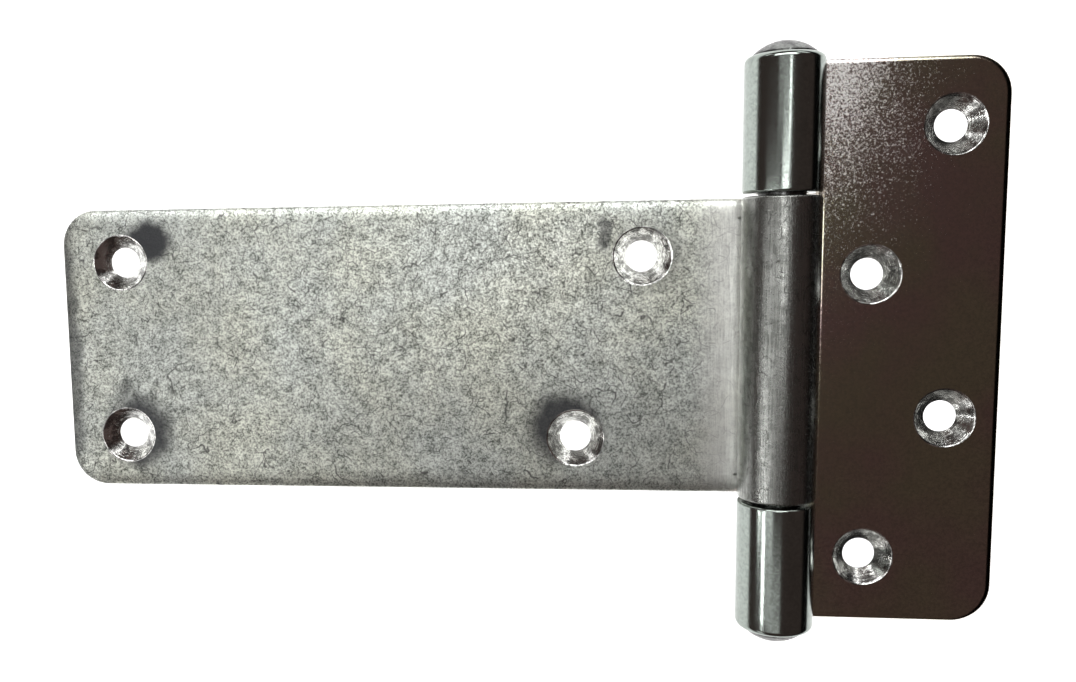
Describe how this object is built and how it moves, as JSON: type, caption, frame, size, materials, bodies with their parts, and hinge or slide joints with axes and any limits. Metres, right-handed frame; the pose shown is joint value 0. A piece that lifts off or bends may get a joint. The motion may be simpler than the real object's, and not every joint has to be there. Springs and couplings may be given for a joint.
{
  "type": "t hinge",
  "caption": "Heavy surface-mounted T hinge: a wide strap leaf and a tall frame leaf with rolled knuckles turn on a riveted pin, with countersunk screw holes.",
  "frame": {"origin": "on the mounting plane (the back of both leaves), straight below the middle of the pin axis", "axes": "+Z out of the mounting plane towards the front, where the knuckles stand and the screws enter; +Y along the pin; +X from the pin towards the frame leaf, so the strap lies along -X"},
  "size_m": [0.258, 0.1576, 0.0201],
  "materials": {
    "strap_zinc": "bright zinc-plated steel, handled and finely scratched, satin",
    "frame_zinc": "bright zinc-plated steel, glossy",
    "pin_zinc": "bright zinc-plated steel, glossy"
  },
  "bodies": {
    "frame": {"frame_leaf": "frame_zinc", "hinge_pin": "pin_zinc"},
    "strap": {"strap_leaf": "strap_zinc"}
  },
  "joints": [
    {"name": "strap_swing", "type": "hinge", "parent": "frame", "child": "strap", "pos_m": [0, 0, 0.01005], "axis": [0, 1, 0], "range_deg": [-90, 180]}
  ]
}
